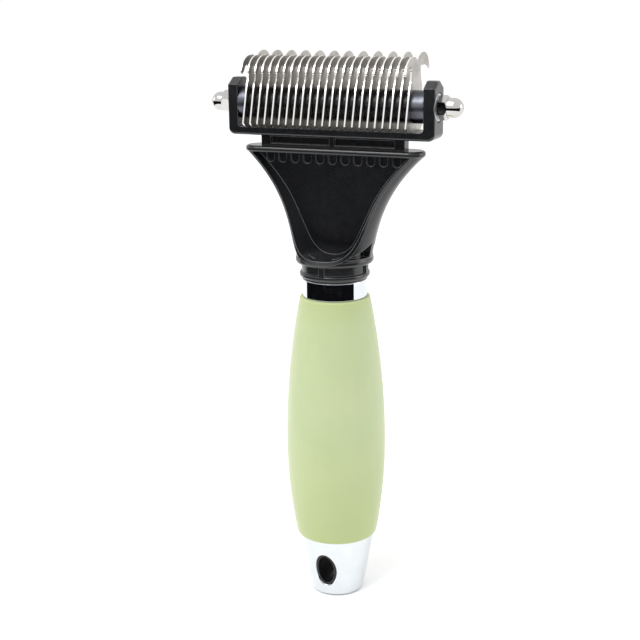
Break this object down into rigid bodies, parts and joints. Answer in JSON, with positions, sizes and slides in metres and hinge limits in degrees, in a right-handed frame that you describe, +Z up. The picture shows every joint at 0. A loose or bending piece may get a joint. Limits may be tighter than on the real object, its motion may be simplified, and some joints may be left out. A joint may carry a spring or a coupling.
{
  "type": "deshedding tool",
  "caption": "Hand-held pet deshedding comb with rows of hooked steel blades in a yoke, fine teeth on one side and coarse on the other, and a soft barrel grip.",
  "frame": {"origin": "centre of the end cap's flat base", "axes": "+Z up the handle towards the blades, +X along the shaft, -Y towards the fine side, +Y towards the coarse side"},
  "size_m": [0.0892, 0.0346, 0.1905],
  "materials": {
    "blade_steel": "fine ground stainless sheet, polished edges",
    "spacer_black": "satin black",
    "spacer_bright": "turned, satin",
    "shaft_steel": "zinc plated thread",
    "washer_steel": "plain stamped",
    "nut_chrome": "bright nickel plating",
    "black_plastic": "moulded black ABS, low sheen",
    "chrome_plating": "mirror chrome plating on plastic",
    "green_gel": "smooth translucent gel, satin",
    "core_plastic": "pale green moulded",
    "liner_plastic": "gloss black"
  },
  "bodies": {
    "frame": {"blade_01": "blade_steel", "blade_02": "blade_steel", "blade_03": "blade_steel", "blade_04": "blade_steel", "blade_05": "blade_steel", "blade_06": "blade_steel", "blade_07": "blade_steel", "blade_08": "blade_steel", "blade_09": "blade_steel", "blade_10": "blade_steel", "blade_11": "blade_steel", "blade_12": "blade_steel", "blade_13": "blade_steel", "blade_14": "blade_steel", "blade_15": "blade_steel", "blade_16": "blade_steel", "blade_17": "blade_steel", "blade_18": "blade_steel", "blade_19": "blade_steel", "blade_20": "blade_steel", "blade_21": "blade_steel", "blade_22": "blade_steel", "blade_23": "blade_steel", "end_cap": "chrome_plating", "end_spacer_left": "spacer_bright", "end_spacer_right": "spacer_bright", "ferrule": "chrome_plating", "gel_grip": "green_gel", "handle_core": "core_plastic", "hang_hole_liner": "liner_plastic", "neck": "black_plastic", "spacer_01": "spacer_black", "spacer_02": "spacer_black", "spacer_03": "spacer_black", "spacer_04": "spacer_black", "spacer_05": "spacer_black", "spacer_06": "spacer_black", "spacer_07": "spacer_black", "spacer_08": "spacer_black", "spacer_09": "spacer_black", "spacer_10": "spacer_black", "spacer_11": "spacer_black", "spacer_12": "spacer_black", "spacer_13": "spacer_black", "spacer_14": "spacer_black", "spacer_15": "spacer_black", "spacer_16": "spacer_black", "spacer_17": "spacer_black", "spacer_18": "spacer_black", "spacer_19": "spacer_black", "spacer_20": "spacer_black", "spacer_21": "spacer_black", "spacer_22": "spacer_black", "threaded_shaft": "shaft_steel", "yoke": "black_plastic"},
    "left_washer": {"washer_left": "washer_steel"},
    "left_nut": {"cap_nut_left": "nut_chrome"},
    "right_washer": {"washer_right": "washer_steel"},
    "right_nut": {"cap_nut_right": "nut_chrome"}
  },
  "joints": [
    {"name": "left_nut_travel", "type": "slide", "parent": "frame", "child": "left_washer", "axis": [-1, 0, 0], "range_m": [0, 0.0049]},
    {"name": "left_nut_turn", "type": "hinge", "parent": "left_washer", "child": "left_nut", "pos_m": [-0.0366, 0, 0.1736], "axis": [-1, 0, 0], "range_deg": [0, 2521]},
    {"name": "right_nut_travel", "type": "slide", "parent": "frame", "child": "right_washer", "axis": [1, 0, 0], "range_m": [0, 0.0049]},
    {"name": "right_nut_turn", "type": "hinge", "parent": "right_washer", "child": "right_nut", "pos_m": [0.0366, 0, 0.1736], "axis": [1, 0, 0], "range_deg": [0, 2521]}
  ],
  "couplings": [
    {"joint": "left_nut_turn", "follows": "left_nut_travel", "rad_per_m": 8976},
    {"joint": "right_nut_turn", "follows": "right_nut_travel", "rad_per_m": 8976}
  ]
}
